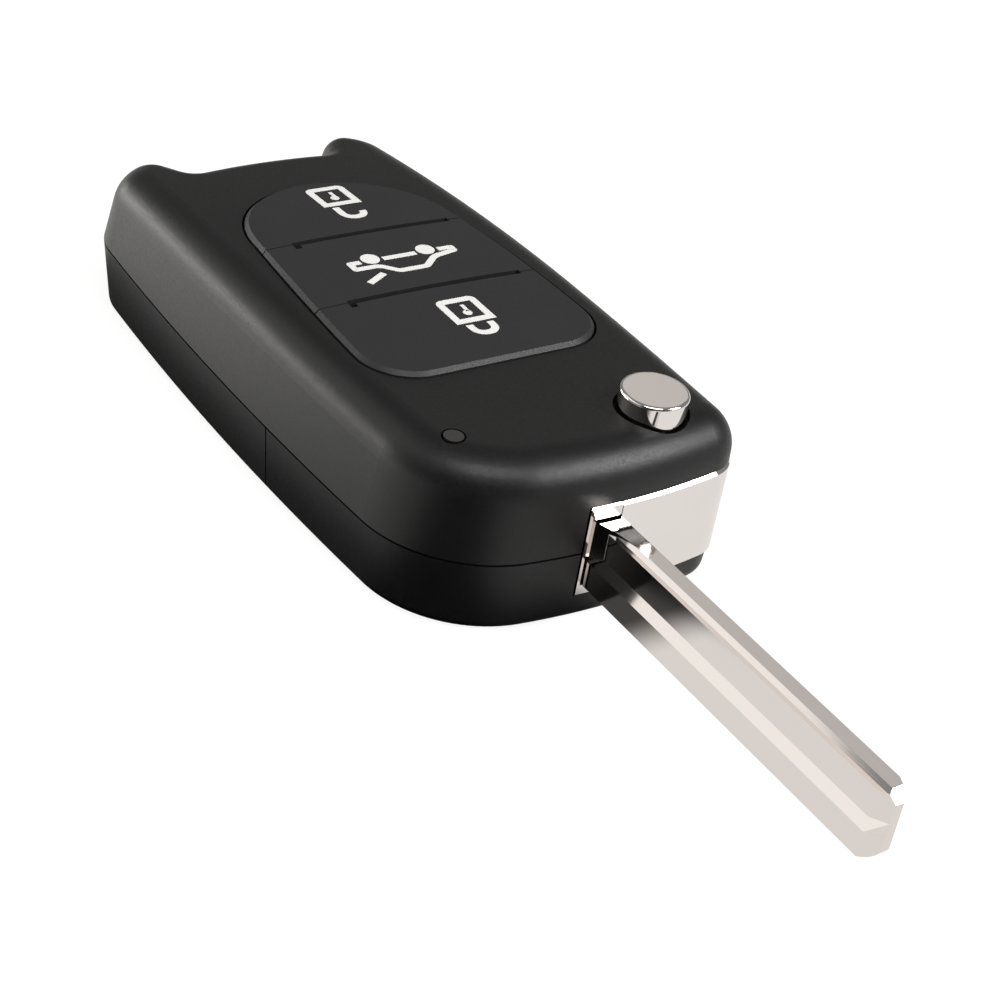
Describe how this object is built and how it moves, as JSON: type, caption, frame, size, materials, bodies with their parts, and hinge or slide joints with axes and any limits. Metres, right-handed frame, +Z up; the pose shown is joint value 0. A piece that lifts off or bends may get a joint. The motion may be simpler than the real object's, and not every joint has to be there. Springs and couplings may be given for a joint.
{
  "type": "flip key remote shell",
  "caption": "Open flip key: a moulded case with rubber keys and a round release button, and a stepped steel blade that folds into its side.",
  "frame": {"origin": "middle of the case's flat back, on the surface it lies on", "axes": "+X towards the blade's tip, +Y towards the side that the blade folds into, +Z up out of the keys"},
  "size_m": [0.1164, 0.0381, 0.0207],
  "materials": {
    "case_plastic": "matte moulded plastic",
    "key_rubber": "matte rubber with white pictograms",
    "membrane_silicone": "silicone",
    "lens_plastic": "smoked clear plastic",
    "board_laminate": "solder resist",
    "switch_plastic": "gloss",
    "lamp_resin": "clear resin",
    "cell_steel": "polished",
    "contact_bronze": "sprung phosphor bronze",
    "chip_resin": "matte",
    "chrome": "bright chrome on zinc",
    "blade_nickel": "nickel plated",
    "plain_steel": "zinc plated",
    "spring_steel": "bright wire",
    "retainer_plastic": "matte"
  },
  "bodies": {
    "case": {"front_case": "case_plastic", "back_case": "case_plastic", "key_membrane": "membrane_silicone", "led_lens": "lens_plastic", "circuit_board": "board_laminate", "key_switches": "switch_plastic", "board_led": "lamp_resin", "coin_cell": "cell_steel", "upper_contact": "contact_bronze", "lower_contact": "contact_bronze", "transponder": "chip_resin", "board_screws": "plain_steel", "ring_bar": "plain_steel", "flip_spring": "spring_steel", "spring_retainer": "retainer_plastic"},
    "blade": {"blade_head": "chrome", "blade_collar": "chrome", "key_blade": "blade_nickel", "blade_pin": "plain_steel"},
    "button": {"release_button": "chrome"},
    "unlock_key": {"unlock_key": "key_rubber"},
    "boot_key": {"boot_key": "key_rubber"},
    "lock_key": {"lock_key": "key_rubber"},
    "battery_cover": {"battery_cover": "case_plastic"}
  },
  "joints": [
    {"name": "blade_swing", "type": "hinge", "parent": "case", "child": "blade", "pos_m": [0.0323, 0.0095, 0.008], "axis": [0, 0, 1], "range_deg": [0, 180], "stiffness_Nm_per_rad": 0.008, "springref_deg": -57.3},
    {"name": "button_press", "type": "slide", "parent": "blade", "child": "button", "axis": [0, 0, -1], "range_m": [0, 0.002], "stiffness_N_per_m": 2500, "deforming": ["flip_spring"]},
    {"name": "unlock_press", "type": "slide", "parent": "case", "child": "unlock_key", "axis": [0, 0, -1], "range_m": [0, 0.0005], "stiffness_N_per_m": 4000, "deforming": ["key_membrane"]},
    {"name": "boot_press", "type": "slide", "parent": "case", "child": "boot_key", "axis": [0, 0, -1], "range_m": [0, 0.0005], "stiffness_N_per_m": 4000, "deforming": ["key_membrane"]},
    {"name": "lock_press", "type": "slide", "parent": "case", "child": "lock_key", "axis": [0, 0, -1], "range_m": [0, 0.0005], "stiffness_N_per_m": 4000, "deforming": ["key_membrane"]},
    {"name": "cover_slide", "type": "slide", "parent": "case", "child": "battery_cover", "axis": [-1, 0, 0], "range_m": [0, 0.012]}
  ]
}
